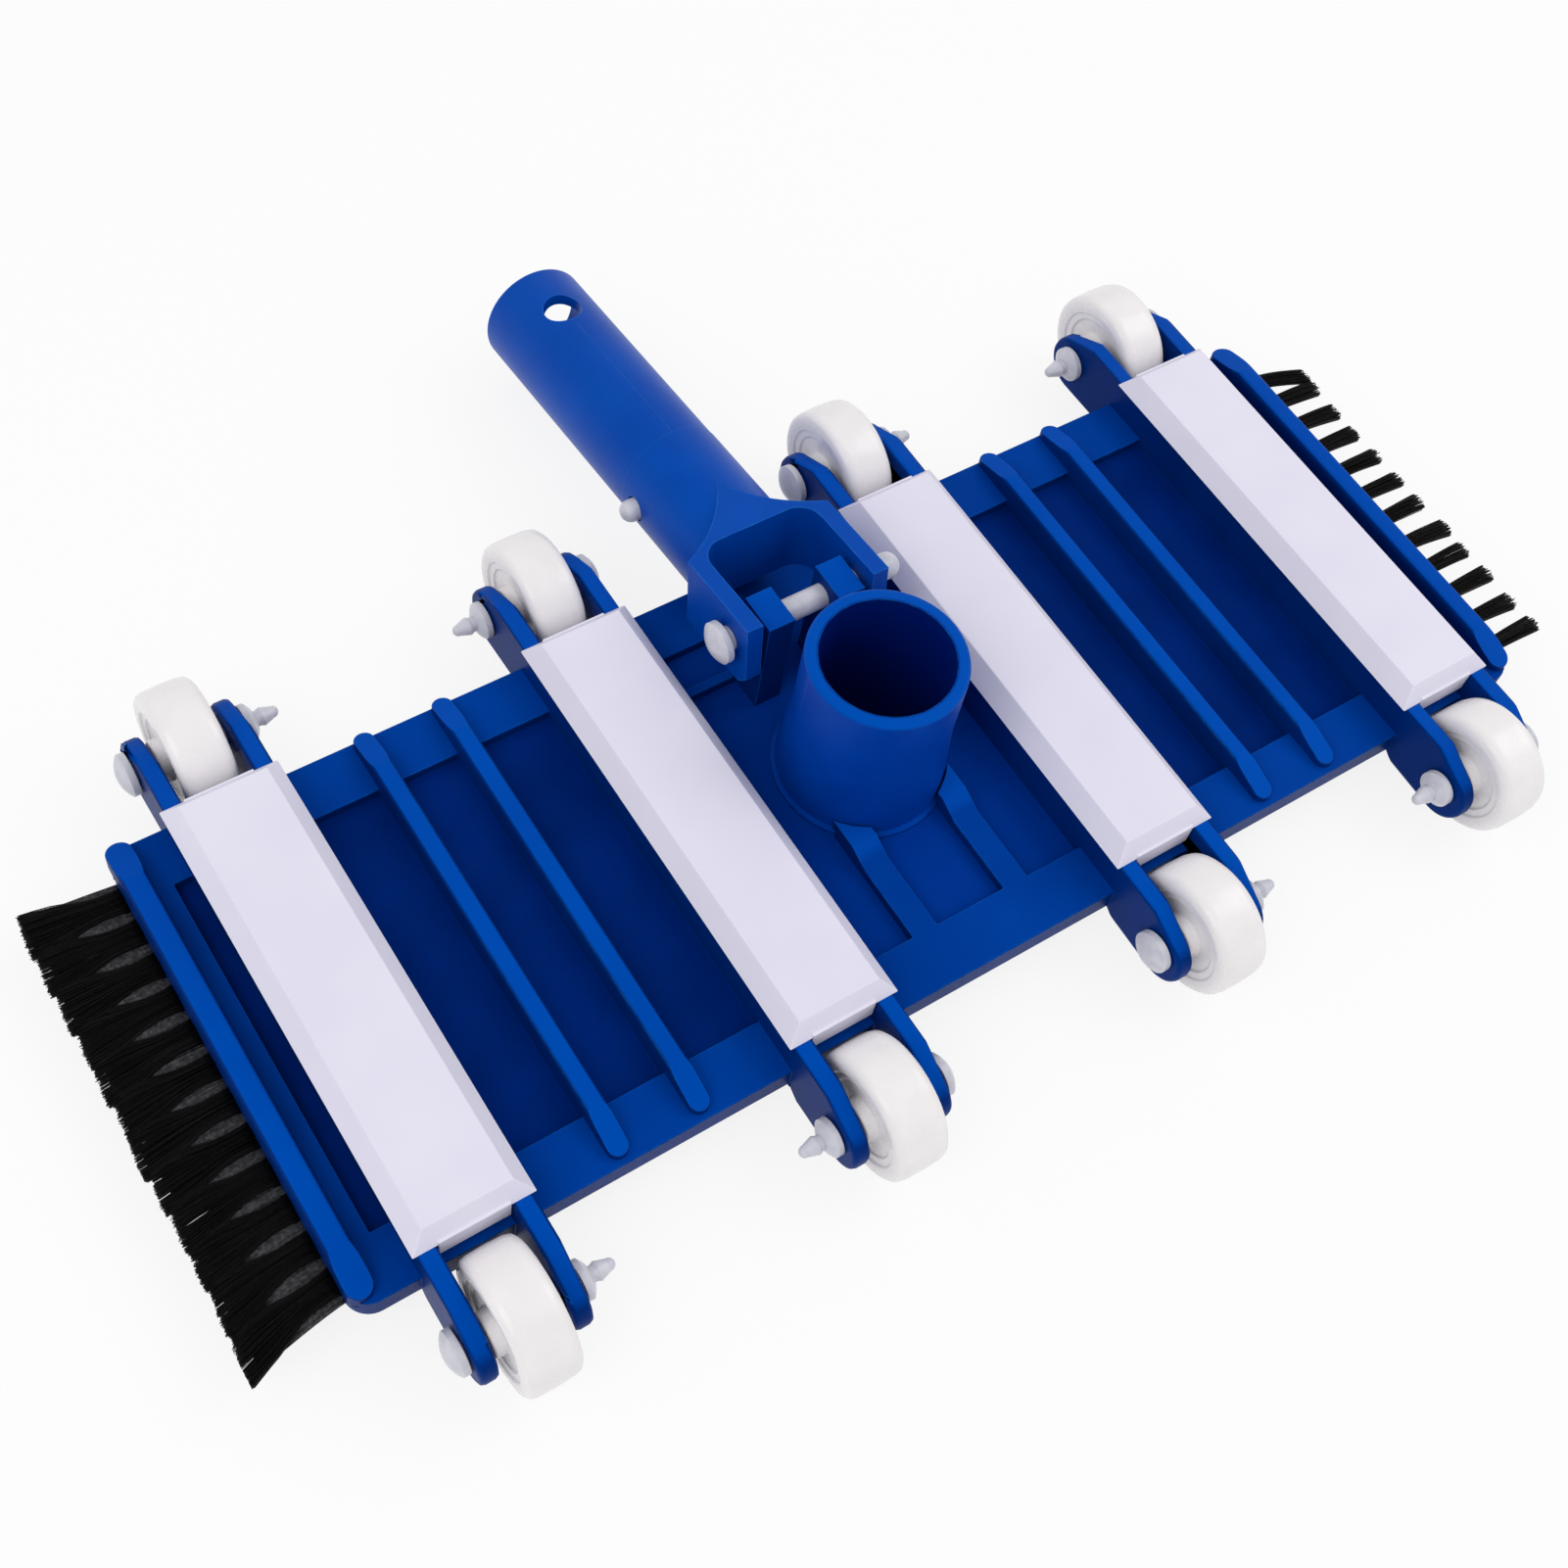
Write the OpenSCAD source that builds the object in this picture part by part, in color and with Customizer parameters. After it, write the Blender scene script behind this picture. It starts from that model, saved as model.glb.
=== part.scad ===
// Manual vacuum head for a pool: a flat deck on eight wheels, weighted by four
// covered bars, with a swivelling hose port, a folding pole handle and a brush
// along each end. X runs along the deck, +Y points to the pole side, +Z up.
// The origin is on the hose port's axis, at the top of the deck's floor.

/* [Deck] */
// Length of the deck over its end lips
deck_l = 330; // [320:1:420]
// Width of the deck from front to rear
deck_w = 121; // [112:1:150]
// Corner radius of the deck
deck_corner_r = 6; // [3:0.5:12]
// Thickness of the deck's floor
floor_t = 3; // [2.5:0.1:4]
// Depth of the skirt that runs round the underside
skirt_h = 1.2; // [0.8:0.1:2.5]
// Width of the underside skirt
skirt_w = 6; // [4:0.5:9]
// Height of the front and rear rims over the floor
rim_h = 2.8; // [2:0.1:5]
// Width of the front and rear rims
rim_w = 14; // [8:0.5:18]
// Width of the same rim along the two ends, under and inside the end lips
end_rim_w = 10.4; // [8:0.1:13]
// Height of the stiffening ribs and the end lips over the floor
rib_h = 7.9; // [6:0.1:11]
// Thickness of a stiffening rib
rib_t = 5; // [3:0.1:7]
// Distance between the two ribs of an outer bay
rib_pitch = 20.4; // [12:0.1:30]
// How far the front end of a rib or lip stays inside the deck's edge
rib_front_gap = 1.5; // [0.5:0.1:4]
// How far the rear end of a rib or lip stands out over the deck's edge
rib_rear_over = 0.8; // [0.2:0.1:2]
// Height of the round nose at each end of a rib or lip
rib_end_h = 4.5; // [3.4:0.1:5.5]
// Length of the slope at each end of a rib or lip
rib_slope_l = 12; // [6:0.5:18]
// Rounding of a rib's upper edges
rib_round = 1.3; // [0.5:0.1:1.4]
// Rounding of an end lip's upper edges
lip_round = 1.7; // [0.5:0.1:1.7]
// Thickness of an end lip
lip_t = 6.2; // [3.5:0.1:7]
// Width of the two short ribs in front of the hose port
short_rib_w = 7; // [4:0.1:9]
// Distance between the two short ribs
short_rib_pitch = 26.2; // [22:0.1:34]
// Height of a short rib where it meets the port
short_rib_top = 5.2; // [4.5:0.1:8]
// Length of the ramp that falls from there to the rim's level
short_rib_ramp = 6; // [3:0.5:12]

/* [Rails and wheels] */
// Distance from each end of the deck to the outer rail's middle
rail_inset = 28.2; // [26:0.1:36]
// Width over the two walls of a rail
rail_w = 26.6; // [24:0.1:32]
// Thickness of a rail's wall and of the wheel ears at its ends
rail_t = 4.6; // [3.5:0.1:6.5]
// Height of the rails over the floor
rail_h = 12.4; // [10.5:0.1:16]
// Gap between the wheels and the deck's front and rear edges
wheel_gap = 0.7; // [0.6:0.1:6]
// Height of the wheel axles over the floor
axle_z = 2.5; // [1:0.1:4]
// Radius of the round nose of a wheel ear
ear_nose_r = 8.2; // [7:0.1:9.5]
// How far the middle of that nose lies below the axle
ear_nose_drop = 1.8; // [0:0.1:3]
// Distance from the deck's edge to where an ear reaches its full depth
ear_foot_l = 3; // [1:0.5:8]
// Length of the level top of an ear beyond the deck
ear_flat_l = 12; // [6:0.5:14]
// Radius of a wheel
wheel_r = 16.2; // [14:0.1:18]
// Width of a wheel's tread
wheel_w = 13.8; // [9:0.1:14.5]
// Radius of a wheel's rounded shoulders
wheel_shoulder_r = 3.2; // [1.5:0.1:4]
// Radius of a wheel's hub
hub_r = 5.4; // [4.5:0.1:7]
// Radius of the recess in each side of a wheel
wheel_recess_r = 11.8; // [9:0.1:12.5]
// Thickness of a wheel's web
web_t = 10.8; // [3:0.1:11.5]
// Radius of a wheel axle pin
axle_r = 3; // [2.6:0.1:3.6]
// Radius of the pins' heads
head_r = 5.3; // [4.6:0.1:7]
// Height of the pins' domed heads
head_h = 3.6; // [1.5:0.1:4]
// Radius of the caps pushed on the axle pins
cap_r = 4.7; // [4:0.1:6]
// Thickness of the caps
cap_h = 3.3; // [1.5:0.1:3.5]
// Length of the nipple that stands out of a cap
nipple_l = 5.4; // [4:0.1:9]
// How far a pin's head and its cap each stand off the ears
axle_play = 0.5; // [0.3:0.1:2.5]
// Radius of the nipple's barb
barb_r = 2.3; // [2.1:0.1:2.8]
// Radius of an axle pin's tail inside its cap
tail_r = 1.9; // [1.6:0.1:2]

/* [Weights] */
// Length of a weight cover
cover_l = 118.3; // [100:0.1:120.5]
// How far a cover stands out over each side of its rail
cover_over = 1.1; // [0:0.1:2]
// Height of a cover's bevelled top
cover_h = 4.7; // [3.5:0.1:7]
// Width of the bevel along a cover's sides
side_bevel = 3.9; // [2:0.1:5]
// Width of the bevel across a cover's ends
end_bevel = 3.3; // [2:0.1:6]
// Depth of a cover's skirt between the rail walls
cover_skirt_h = 5.6; // [3.5:0.1:6.5]
// Wall thickness of a cover
cover_t = 1.6; // [1.2:0.1:2.2]
// Thickness of the end walls that close a rail's channel
channel_end_t = 3.5; // [2:0.1:5]
// Height of those end walls over the floor
channel_end_h = 4; // [3:0.1:5]

/* [Hose port] */
// Outer radius of the port, which a hose cuff slides over
port_r = 19; // [18:0.05:20.5]
// Inner radius of the port
port_bore_r = 15.85; // [14:0.05:16.5]
// Height of the port's top over the floor
port_h = 45.2; // [42:0.1:60]
// Length of the straight part that takes the hose
port_straight_l = 20; // [15:0.5:26]
// Radius of the port's neck in the deck
port_neck_r = 20.6; // [20:0.05:21.5]
// Radius of the snap bead that rests on the floor
port_bead_r = 21.5; // [21.2:0.05:22.4]
// Height of the snap bead's edge
port_bead_h = 0.9; // [0.5:0.1:1.4]
// Radius of the flange under the floor
port_flange_r = 24; // [23:0.1:26]
// Rounding of the port's mouth
port_lip_r = 0.8; // [0.3:0.1:1.2]

/* [Handle] */
// Distance from the port's axis back to the handle's pin
pin_y = 31.9; // [31:0.1:38]
// Height of the handle's pin over the floor
pin_z = 25.6; // [24:0.1:30]
// Radius of the handle's pin
pin_r = 3; // [2.5:0.1:3.5]
// Radius of the pin's snap tip
snap_r = 3.4; // [3.2:0.05:4]
// Length of the snap tip before its dome
snap_l = 3; // [1:0.1:4]
// How far the pin's head and tip can stand off the yoke
pin_play = 2; // [0.3:0.1:2.5]
// Gap between the two lugs that carry the pin
lug_gap = 12.4; // [10:0.1:16]
// Width of a lug
lug_w = 7.3; // [5:0.1:9]
// Reach of a lug in front of the pin
lug_front = 6.4; // [5:0.1:7.5]
// Reach of a lug behind the pin
lug_back = 4.5; // [4.4:0.1:6.5]
// Height of a lug over the pin's centre
lug_top = 6.2; // [4.5:0.1:7]
// Gap between a lug and the yoke's arm beside it
yoke_play = 2; // [0.5:0.1:3]
// Thickness of the yoke's arms
arm_t = 4.3; // [3.5:0.1:5.5]
// Reach of the arms in front of the pin
arm_front = 7.3; // [5:0.1:8]
// Height of the yoke over the pin
yoke_top = 8.8; // [7:0.1:9.5]
// Depth of the arms below the pin
arm_drop = 11.2; // [7:0.1:12]
// Distance from the pin to the yoke's inner end wall
pocket_l = 20.8; // [17:0.1:24]
// Radius of the yoke's inner corners
pocket_r = 6; // [3:0.1:8]
// Distance from the pin to the yoke's outer back corners
yoke_l = 18.5; // [16:0.1:22]
// Distance from the pin to where the yoke's top runs out on the tube
crest_l = 37.5; // [34:0.1:48]
// Radius of the hollow sides of the yoke's back
crest_hollow_r = 40; // [30:1:80]
// Outer radius of the handle's tube, which fits inside a pole
tube_r = 14.3; // [13:0.05:15]
// How far the yoke's top stands over the tube's
crest_step = 0.3; // [0.2:0.05:1]
// How much thicker the tube's root is than the part that fits a pole
tube_root_step = 0.15; // [0.1:0.05:0.2]
// Inner radius of the handle's tube
tube_bore_r = 11.3; // [10.4:0.05:11.8]
// Distance from the pin to the tube's open end
handle_l = 127.5; // [124:0.5:180]
// Radius of the hole in the tube's upper wall near its open end
lock_hole_r = 5; // [2.5:0.1:6]
// Distance of that hole's middle from the open end
lock_hole_in = 15.8; // [10:0.1:20]
// Angle below level at which the handle lies back over the deck's rear rim
handle_droop = 7.5; // [2:0.1:8]

/* [Pole clip] */
// Radius of the clip's button
button_r = 2.9; // [2:0.1:3.4]
// How far the button stands out of the tube
button_out = 4; // [2:0.1:4.4]
// Distance from the handle's pin to the button
button_v = 52; // [48:0.5:60]
// Radial clearance of the button in its hole
button_fit = 0.45; // [0.3:0.05:0.8]
// Length of the clip's arms from their bend to the button
clip_l = 38; // [34:0.5:46]
// Width of the clip's strip
clip_w = 8; // [5:0.1:9]
// Thickness of the clip's strip
clip_t = 1.3; // [0.8:0.1:1.8]

/* [Brushes] */
// Number of tufts along each end
tuft_n = 12; // [6:1:14]
// Distance between tufts
tuft_pitch = 9.2; // [7:0.1:9.6]
// How far the left tufts reach out of the deck
left_reach = 24; // [15:0.1:34]
// How far the right tufts reach out of the deck
right_reach = 20.8; // [15:0.1:34]
// Height of the tufts' roots over the floor's top, which they lie below
tuft_z = -1.8; // [-2:0.1:4]
// Radius of a tuft at its root
tuft_r = 1.5; // [1:0.1:1.7]
// Depth of a tuft's socket in the deck's end
tuft_socket_l = 3.4; // [2:0.1:4]
// Droop of the tufts in degrees
tuft_droop = 3; // [0:1:15]
// Width of a left tuft's tip, which is splayed by use
left_tip_w = 8; // [4:0.1:8.6]
// Width of a right tuft's tip
right_tip_w = 4.4; // [3:0.1:8.6]

/* [Fits] */
// Radial clearance of a pin or neck in its hole
running_fit = 0.07; // [0.02:0.01:0.1]
// Gap between parts that are loose against each other
loose_fit = 0.3; // [0.2:0.05:0.5]
// Gap between a moving part and what stands beside it
side_fit = 0.5; // [0.3:0.05:1]

/* [Hidden] */
$fn = 96;
SIDES = ["front", "rear"];
RAILS = [1, 2, 3, 4];

blue = [0.02, 0.28, 0.68];
cover_white = [0.88, 0.87, 0.93];
wheel_white = [0.93, 0.92, 0.93];
nylon = [0.8, 0.8, 0.84];
steel = [0.45, 0.46, 0.48];
black = [0.03, 0.03, 0.03];

over = 1;
deck_bottom = -floor_t - skirt_h;
// The four rails share out the deck's length
rail_pitch = (deck_l - 2 * rail_inset) / 3;
axle_y = deck_w / 2 + wheel_gap + wheel_r;
ground_z = axle_z - wheel_r;
channel_w = rail_w - 2 * rail_t;
cover_foot_z = rail_h;
cover_skirt_z = cover_foot_z - cover_skirt_h;
cover_skirt_w = channel_w - 2 * loose_fit;
cover_w = rail_w + 2 * cover_over;
bar_w = cover_skirt_w - 2 * cover_t - 2 * loose_fit;
cover_inner_l = cover_l - 2 * cover_t - 1.3 * end_bevel;
bar_l = min(deck_w - 2 * channel_end_t, cover_inner_l) - 2 * loose_fit;
bar_top = cover_foot_z + cover_h - cover_t - 2 * loose_fit;
bead_top_z = loose_fit / 2 + port_bead_h;
bead_slope_h = 0.8;
hub_w = channel_w - 2 * side_fit;
yoke_inner_w = lug_gap + 2 * (lug_w + yoke_play);
yoke_outer_w = yoke_inner_w + 2 * arm_t;
// The tube's axis lies lower than the pin
tube_drop = tube_r + crest_step - yoke_top;
root_r = tube_r + tube_root_step;
root_end = button_v + button_r + 3;
bow_v = button_v + clip_l;
// The strips lie against the bore, with their edges just clear of it
clip_x = sqrt(tube_bore_r ^ 2 - (clip_w / 2) ^ 2) - loose_fit - clip_t / 2;
clip_end = button_v - button_r - 1;
tuft_h = 2 * tuft_r * 0.94;
// The back edge of the deck's rear rim, seen in the handle's own frame
rim_edge_v = (deck_w / 2 - pin_y) * cos(handle_droop) + (pin_z - rim_h) * sin(handle_droop);
rim_edge_w = (deck_w / 2 - pin_y) * sin(handle_droop) - (pin_z - rim_h) * cos(handle_droop);
// The tube's underside slopes down from the yoke, just clear of that edge
root_low = -tube_drop - root_r - over;
root_slope_end = pocket_l + (root_low + arm_drop) * (rim_edge_v - pocket_l) / (rim_edge_w + loose_fit + arm_drop);
bore_start = root_slope_end + 1;

function rail_x(i) = (i - 2.5) * rail_pitch;
function side_sign(s) = s == "front" ? -1 : 1;
// The left and right ends of the axle pins alternate from rail to rail
function head_sign(i) = i == 1 || i == 3 ? -1 : 1;
// Where the line from p touches the circle of radius r about c, on the outer side
function tangent(p, c, r) =
    let (d = p - c, a = atan2(d.y, d.x) - acos(r / norm(d)))
    c + r * [cos(a), sin(a)];

// Extrudes an outline drawn in (Y, Z) by w along X, centred on x
module along_x(x, w) {
    translate([x - w / 2, 0, 0]) rotate([90, 0, 90]) linear_extrude(w) children();
}

module rounded_rect(l, w, r) {
    square([l - 2 * r, w], center = true);
    square([l, w - 2 * r], center = true);
    for (sx = [-1, 1], sy = [-1, 1])
        translate([sx * (l / 2 - r), sy * (w / 2 - r)]) circle(r);
}

module deck_slab() {
    translate([0, 0, deck_bottom]) linear_extrude(-deck_bottom)
        rounded_rect(deck_l, deck_w, deck_corner_r);
}

module rims() {
    linear_extrude(rim_h) intersection() {
        rounded_rect(deck_l, deck_w, deck_corner_r);
        for (s = [-1, 1]) {
            translate([0, s * (deck_w - rim_w) / 2]) square([deck_l, rim_w], center = true);
            translate([s * (deck_l - end_rim_w) / 2, 0]) square([end_rim_w, deck_w], center = true);
        }
    }
}

// A bar's cross-section, with its two upper edges rounded
module rib_section(t, edge_r) {
    translate([-t / 2, 0]) square([t, rib_h - edge_r]);
    translate([edge_r - t / 2, 0]) square([t - 2 * edge_r, rib_h]);
    for (s = [-1, 1]) translate([s * (t / 2 - edge_r), rib_h - edge_r]) circle(edge_r);
}

// A rib from front to rear: each end slopes down to a nose that is round from above
module long_rib(x, t, edge_r) {
    front = -deck_w / 2 + rib_front_gap;
    rear = deck_w / 2 + rib_rear_over;
    intersection() {
        along_x(x, t) polygon([
            [front, 0], [front, rib_end_h], [front + rib_slope_l, rib_h],
            [rear - rib_slope_l, rib_h], [rear, rib_end_h], [rear, 0]
        ]);
        translate([x, rear, 0]) rotate([90, 0, 0]) linear_extrude(rear - front) rib_section(t, edge_r);
        translate([x, 0, 0]) linear_extrude(rib_h) {
            translate([-t / 2, front + t / 2]) square([t, rear - front - t]);
            for (y = [front + t / 2, rear - t / 2]) translate([0, y]) circle(t / 2);
        }
    }
}

module ribs() {
    for (s = [-1, 1], side = [-1, 1])
        long_rib(s * rail_pitch + side * rib_pitch / 2, rib_t, rib_round);
    for (s = [-1, 1])
        long_rib(s * (deck_l - lip_t) / 2, lip_t, lip_round);
}

// The short ribs run level with the front rim, with a ramp up to the port's foot
module short_ribs() {
    rim_edge = deck_w / 2 - rim_w;
    ramp_foot = port_neck_r + short_rib_ramp;
    difference() {
        for (s = [-1, 1]) along_x(s * short_rib_pitch / 2, short_rib_w) polygon([
            [0, 0], [0, short_rib_top], [-port_neck_r, short_rib_top],
            [-ramp_foot, rim_h], [-rim_edge - 1, rim_h], [-rim_edge - 1, 0]
        ]);
        cylinder(r = port_neck_r + loose_fit, h = 3 * rib_h, center = true);
        cylinder(r = port_bead_r + loose_fit, h = 2 * (bead_top_z + bead_slope_h), center = true);
    }
}

module rail_outline() {
    nose = [axle_y, axle_z - ear_nose_drop];
    foot_z = nose.y - ear_nose_r;
    knee = [deck_w / 2 + ear_flat_l, rail_h];
    touch = tangent(knee, nose, ear_nose_r - 0.05);
    for (s = [0, 1]) mirror([s, 0]) {
        polygon([
            [0, deck_bottom], [deck_w / 2 - over, deck_bottom], [deck_w / 2 + ear_foot_l, foot_z + 0.6],
            [axle_y, foot_z], nose, touch, knee, [0, rail_h]
        ]);
        translate(nose) circle(ear_nose_r);
    }
}

module rails() {
    for (i = RAILS) {
        for (s = [-1, 1]) along_x(rail_x(i) + s * (rail_w - rail_t) / 2, rail_t) rail_outline();
        for (s = [-1, 1])
            translate([rail_x(i) - channel_w / 2 - over / 2, s * (deck_w - channel_end_t) / 2 - channel_end_t / 2, -over])
                cube([channel_w + over, channel_end_t, channel_end_h + over]);
    }
}

module handle_lugs() {
    tie_x = rail_pitch / 2 - rail_w / 2;
    for (s = [-1, 1]) {
        along_x(s * (lug_gap + lug_w) / 2, lug_w)
            translate([pin_y - lug_front, -over]) square([lug_front + lug_back, pin_z + lug_top + over]);
        along_x(s * (lug_gap / 2 + tie_x) / 2, tie_x - lug_gap / 2 + over / 2)
            translate([pin_y + lug_back - rib_t / 2, -over]) square([rib_t / 2, rim_h + over]);
    }
}

module tuft_places() {
    for (k = [0 : tuft_n - 1])
        translate([0, (k - (tuft_n - 1) / 2) * tuft_pitch, 0]) children();
}

module tuft_sockets() {
    for (s = [-1, 1]) tuft_places()
        translate([s * (deck_l / 2 + over / 2 - tuft_socket_l / 2), 0, tuft_z]) rotate([0, 90, 0])
            cylinder(r = tuft_r + running_fit, h = tuft_socket_l + over, center = true);
}

// The room for a ballast bar between the walls of each rail
module rail_channels() {
    inner_l = deck_w - 2 * channel_end_t;
    for (i = RAILS) translate([rail_x(i) - channel_w / 2, -inner_l / 2, 0]) cube([channel_w, inner_l, rail_h + over]);
}

module base_plate() {
    color(blue) difference() {
        union() {
            deck_slab();
            rims();
            ribs();
            short_ribs();
            rails();
            handle_lugs();
        }
        translate([0, 0, deck_bottom - over]) linear_extrude(skirt_h + over)
            square([deck_l - 2 * skirt_w, deck_w - 2 * skirt_w], center = true);
        rail_channels();
        cylinder(r = port_neck_r + running_fit, h = 4 * floor_t, center = true);
        for (i = RAILS, s = [-1, 1])
            translate([rail_x(i), s * axle_y, axle_z]) rotate([0, 90, 0])
                cylinder(r = axle_r + running_fit, h = rail_w + over, center = true);
        translate([0, pin_y, pin_z]) rotate([0, 90, 0])
            cylinder(r = pin_r + running_fit, h = yoke_inner_w, center = true);
        tuft_sockets();
    }
}

module hose_port() {
    straight_z = port_h - port_straight_l;
    color(blue) rotate_extrude() difference() {
        union() {
            polygon([
                [port_bore_r, deck_bottom], [port_flange_r, deck_bottom],
                [port_flange_r, -floor_t - loose_fit / 2], [port_neck_r, -floor_t - loose_fit / 2],
                [port_neck_r, loose_fit / 2], [port_bead_r, loose_fit / 2], [port_bead_r, bead_top_z],
                [port_neck_r, bead_top_z + bead_slope_h], [port_r, straight_z],
                [port_r, port_h - port_lip_r], [port_r - port_lip_r, port_h - port_lip_r],
                [port_r - port_lip_r, port_h], [port_bore_r, port_h]
            ]);
            translate([port_r - port_lip_r, port_h - port_lip_r]) circle(port_lip_r);
        }
    }
}

// A block with four sloping sides, from its foot up
module bevelled_top(w, l, h, side, end) {
    intersection() {
        along_x(0, w) polygon([[-l / 2, 0], [l / 2, 0], [l / 2 - end, h], [-l / 2 + end, h]]);
        translate([0, l / 2, 0]) rotate([90, 0, 0]) linear_extrude(l)
            polygon([[-w / 2, 0], [w / 2, 0], [w / 2 - side, h], [-w / 2 + side, h]]);
    }
}

module weight_cover(i) {
    inner_w = cover_skirt_w - 2 * cover_t;
    inner_l = cover_inner_l;
    inner_top = cover_foot_z + cover_h - cover_t;
    color(cover_white) translate([rail_x(i), 0, 0]) difference() {
        union() {
            translate([0, 0, cover_foot_z]) bevelled_top(cover_w, cover_l, cover_h, side_bevel, end_bevel);
            translate([-cover_skirt_w / 2, -cover_l / 2, cover_skirt_z])
                cube([cover_skirt_w, cover_l, cover_skirt_h + over]);
        }
        translate([-inner_w / 2, -inner_l / 2, cover_skirt_z - over])
            cube([inner_w, inner_l, inner_top - cover_skirt_z + over]);
    }
}

module ballast_bar(i) {
    color(steel) translate([rail_x(i) - bar_w / 2, -bar_l / 2, 0]) cube([bar_w, bar_l, bar_top]);
}

// Half of a wheel's section: radius along X, half its width along Y
module wheel_half_section() {
    rim_r = wheel_r - wheel_shoulder_r;
    difference() {
        polygon([
            [axle_r + running_fit, 0], [axle_r + running_fit, hub_w / 2], [hub_r - 0.6, hub_w / 2],
            [hub_r, hub_w / 2 - 0.6], [hub_r, web_t / 2], [wheel_recess_r - 1, web_t / 2],
            [wheel_recess_r, wheel_w / 2 - 0.9], [rim_r, wheel_w / 2 - 0.4], [rim_r, wheel_w / 2],
            [wheel_r, wheel_w / 2], [wheel_r, 0]
        ]);
        translate([rim_r, wheel_w / 2 - wheel_shoulder_r]) difference() {
            square(wheel_shoulder_r + over);
            circle(wheel_shoulder_r);
        }
    }
}

module wheel(s, i) {
    color(wheel_white) translate([rail_x(i), side_sign(s) * axle_y, axle_z]) rotate([0, 90, 0])
        rotate_extrude() {
            wheel_half_section();
            mirror([0, 1]) wheel_half_section();
        }
}

// A low dome on a short round edge, from z = 0 up
module domed_head(r, h) {
    edge = h * 0.45;
    dome_r = (r * r + (h - edge) * (h - edge)) / (2 * (h - edge));
    intersection() {
        cylinder(r = r, h = h);
        translate([0, 0, h - dome_r]) sphere(dome_r, $fn = 128);
    }
}

// Places children at rail i's axle, with +Z along X towards the pin's head
module at_axle(s, i) {
    translate([rail_x(i), side_sign(s) * axle_y, axle_z]) rotate([0, head_sign(i) * 90, 0]) children();
}

module axle_pin(s, i) {
    tip_r = barb_r * 0.62;
    stand = rail_w / 2 + axle_play;
    cap_z = -stand - cap_h;
    barb_z = cap_z - loose_fit;
    color(nylon) at_axle(s, i) {
        translate([0, 0, stand]) domed_head(head_r, head_h);
        translate([0, 0, -stand]) cylinder(r = axle_r, h = 2 * stand);
        translate([0, 0, barb_z]) cylinder(r = tail_r, h = cap_h + over);
        translate([0, 0, barb_z - 1]) cylinder(r1 = barb_r, r2 = tail_r, h = 1);
        translate([0, 0, cap_z - nipple_l + tip_r])
            cylinder(r1 = tip_r, r2 = barb_r, h = nipple_l - tip_r - loose_fit - 1);
        translate([0, 0, cap_z - nipple_l + tip_r]) sphere(tip_r);
    }
}

module axle_cap(s, i) {
    color(nylon) at_axle(s, i) translate([0, 0, -rail_w / 2 - axle_play]) mirror([0, 0, 1]) difference() {
        domed_head(cap_r, cap_h);
        translate([0, 0, -over]) cylinder(r = tail_r + running_fit / 2, h = cap_h + 2 * over);
    }
}

// The handle's own frame: origin on the pin, +Y along the tube, +Z to its upper side
module handle_frame() {
    translate([0, pin_y, pin_z]) rotate([-handle_droop, 0, 0]) children();
}

// The same frame, with its origin on the tube's axis
module tube_frame() {
    handle_frame() translate([0, 0, -tube_drop]) children();
}

// A cylinder along the tube's axis, from v0 to v1
module along_tube(r, v0, v1) {
    translate([0, v1, -tube_drop]) rotate([90, 0, 0]) cylinder(r = r, h = v1 - v0);
}

// The handle's outline from the side: level on top, sloping up to the yoke below
module handle_side_outline() {
    polygon([
        [-arm_front, yoke_top], [handle_l, yoke_top], [handle_l, root_low],
        [root_slope_end, root_low], [pocket_l, -arm_drop],
        [-arm_front + 3, -arm_drop], [-arm_front, -arm_drop + 3]
    ]);
}

// The yoke seen from above: its back runs out on the tube in two hollow curves
module yoke_plan() {
    half = yoke_outer_w / 2;
    chord = norm([half, crest_l - yoke_l]);
    out = sqrt(crest_hollow_r ^ 2 - chord ^ 2 / 4);
    middle = [half / 2, (crest_l + yoke_l) / 2];
    normal = [crest_l - yoke_l, half] / chord;
    translate([-half, -arm_front]) square([yoke_outer_w, arm_front + yoke_l]);
    difference() {
        polygon([[-half, yoke_l - over], [half, yoke_l - over], [half, yoke_l], [0, crest_l], [-half, yoke_l]]);
        for (s = [-1, 1])
            translate([s * (middle.x + normal.x * out), middle.y + normal.y * out]) circle(crest_hollow_r, $fn = 360);
    }
}

module yoke_pocket_plan() {
    inner = yoke_inner_w / 2;
    translate([-inner, -arm_front - over]) square([yoke_inner_w, arm_front + over + pocket_l - pocket_r]);
    translate([-inner + pocket_r, 0]) square([yoke_inner_w - 2 * pocket_r, pocket_l]);
    for (s = [-1, 1]) translate([s * (inner - pocket_r), pocket_l - pocket_r]) circle(pocket_r);
}

module handle() {
    low = -tube_drop - tube_r;
    color(blue) handle_frame() difference() {
        intersection() {
            along_x(0, yoke_outer_w) handle_side_outline();
            union() {
                along_tube(tube_r, pocket_l - over, handle_l);
                along_tube(root_r, pocket_l - over, root_end);
                translate([0, 0, -arm_drop - over]) linear_extrude(yoke_top + arm_drop + 2 * over) yoke_plan();
            }
        }
        translate([0, 0, 2 * low]) linear_extrude(-4 * low) yoke_pocket_plan();
        along_tube(tube_bore_r, bore_start, handle_l + over);
        rotate([0, 90, 0]) cylinder(r = pin_r + running_fit, h = yoke_outer_w + over, center = true);
        translate([0, button_v, -tube_drop]) rotate([0, -90, 0]) cylinder(r = button_r + button_fit, h = tube_r + over);
        translate([0, handle_l - lock_hole_in, -tube_drop]) cylinder(r = lock_hole_r, h = tube_r + over);
    }
}

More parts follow.
